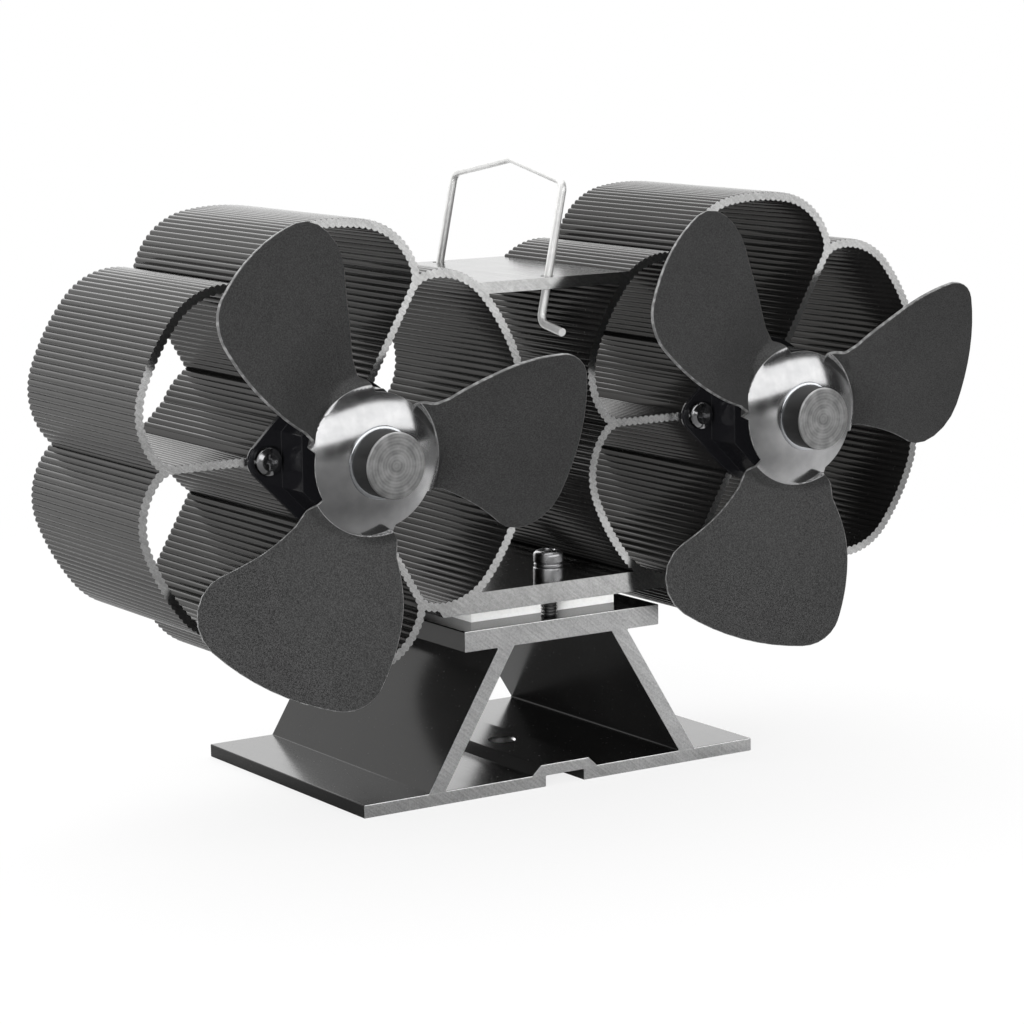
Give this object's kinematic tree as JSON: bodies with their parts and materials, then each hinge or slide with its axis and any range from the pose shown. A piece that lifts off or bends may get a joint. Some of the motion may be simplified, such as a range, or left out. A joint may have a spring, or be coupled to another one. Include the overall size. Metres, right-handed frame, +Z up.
{
  "type": "stove fan",
  "caption": "Heat-powered stove fan: twin three-blade rotors on small motors in a black flower-shaped finned heat sink, on a folded-leg stand with a wire carry handle.",
  "frame": {"origin": "middle of the stand's footprint on the surface it stands on", "axes": "+X to the right across both fans, +Y to the rear away from the rotors, +Z up"},
  "size_m": [0.2195, 0.0956, 0.1444],
  "materials": {
    "stand_anodised": "black anodised, bare cut ends",
    "sink_anodised": "black anodised, bare cut ends",
    "module_ceramic": "white alumina",
    "module_sealant": "white silicone",
    "module_pellets": "dark sintered",
    "plated_screws": "bright nickel plate",
    "handle_wire": "polished stainless wire",
    "holder_black": "gloss black",
    "motor_steel": "zinc plate",
    "motor_cap": "moulded",
    "motor_bronze": "sintered bronze",
    "motor_magnet": "ferrite",
    "motor_copper": "enamelled copper",
    "blade_black": "matt black blades, polished hub",
    "boss_bright": "turned, bright"
  },
  "bodies": {
    "frame": {"base_stand": "stand_anodised", "heat_sink": "sink_anodised", "module_hot_plate": "module_ceramic", "module_cold_plate": "module_ceramic", "module_edge_seal": "module_sealant", "module_pellets": "module_pellets", "clamp_screws": "plated_screws", "clamp_spring_washers": "plated_screws", "clamp_bushes": "plated_screws", "left_motor_holder": "holder_black", "left_holder_screws": "plated_screws", "left_motor_can": "motor_steel", "left_motor_end_cap": "motor_cap", "left_motor_bushes": "motor_bronze", "left_motor_magnets": "motor_magnet", "left_motor_brushes": "motor_bronze", "left_motor_terminals": "motor_bronze", "right_motor_holder": "holder_black", "right_holder_screws": "plated_screws", "right_motor_can": "motor_steel", "right_motor_end_cap": "motor_cap", "right_motor_bushes": "motor_bronze", "right_motor_magnets": "motor_magnet", "right_motor_brushes": "motor_bronze", "right_motor_terminals": "motor_bronze"},
    "handle": {"carry_handle": "handle_wire"},
    "left_fan": {"left_motor_shaft": "motor_steel", "left_armature_core": "motor_steel", "left_windings": "motor_copper", "left_commutator": "motor_copper", "left_fan_blades": "blade_black", "left_hub_boss": "boss_bright"},
    "right_fan": {"right_motor_shaft": "motor_steel", "right_armature_core": "motor_steel", "right_windings": "motor_copper", "right_commutator": "motor_copper", "right_fan_blades": "blade_black", "right_hub_boss": "boss_bright"}
  },
  "joints": [
    {"name": "left_fan_spin", "type": "hinge", "parent": "frame", "child": "left_fan", "pos_m": [-0.0581, -0.052, 0.08305], "axis": [0, 1, 0], "continuous": true},
    {"name": "right_fan_spin", "type": "hinge", "parent": "frame", "child": "right_fan", "pos_m": [0.0581, -0.052, 0.08305], "axis": [0, 1, 0], "continuous": true},
    {"name": "handle_slide", "type": "slide", "parent": "frame", "child": "handle", "axis": [0.2079, 0, 0.9781], "range_m": [-0.0195, 0.0068]}
  ]
}
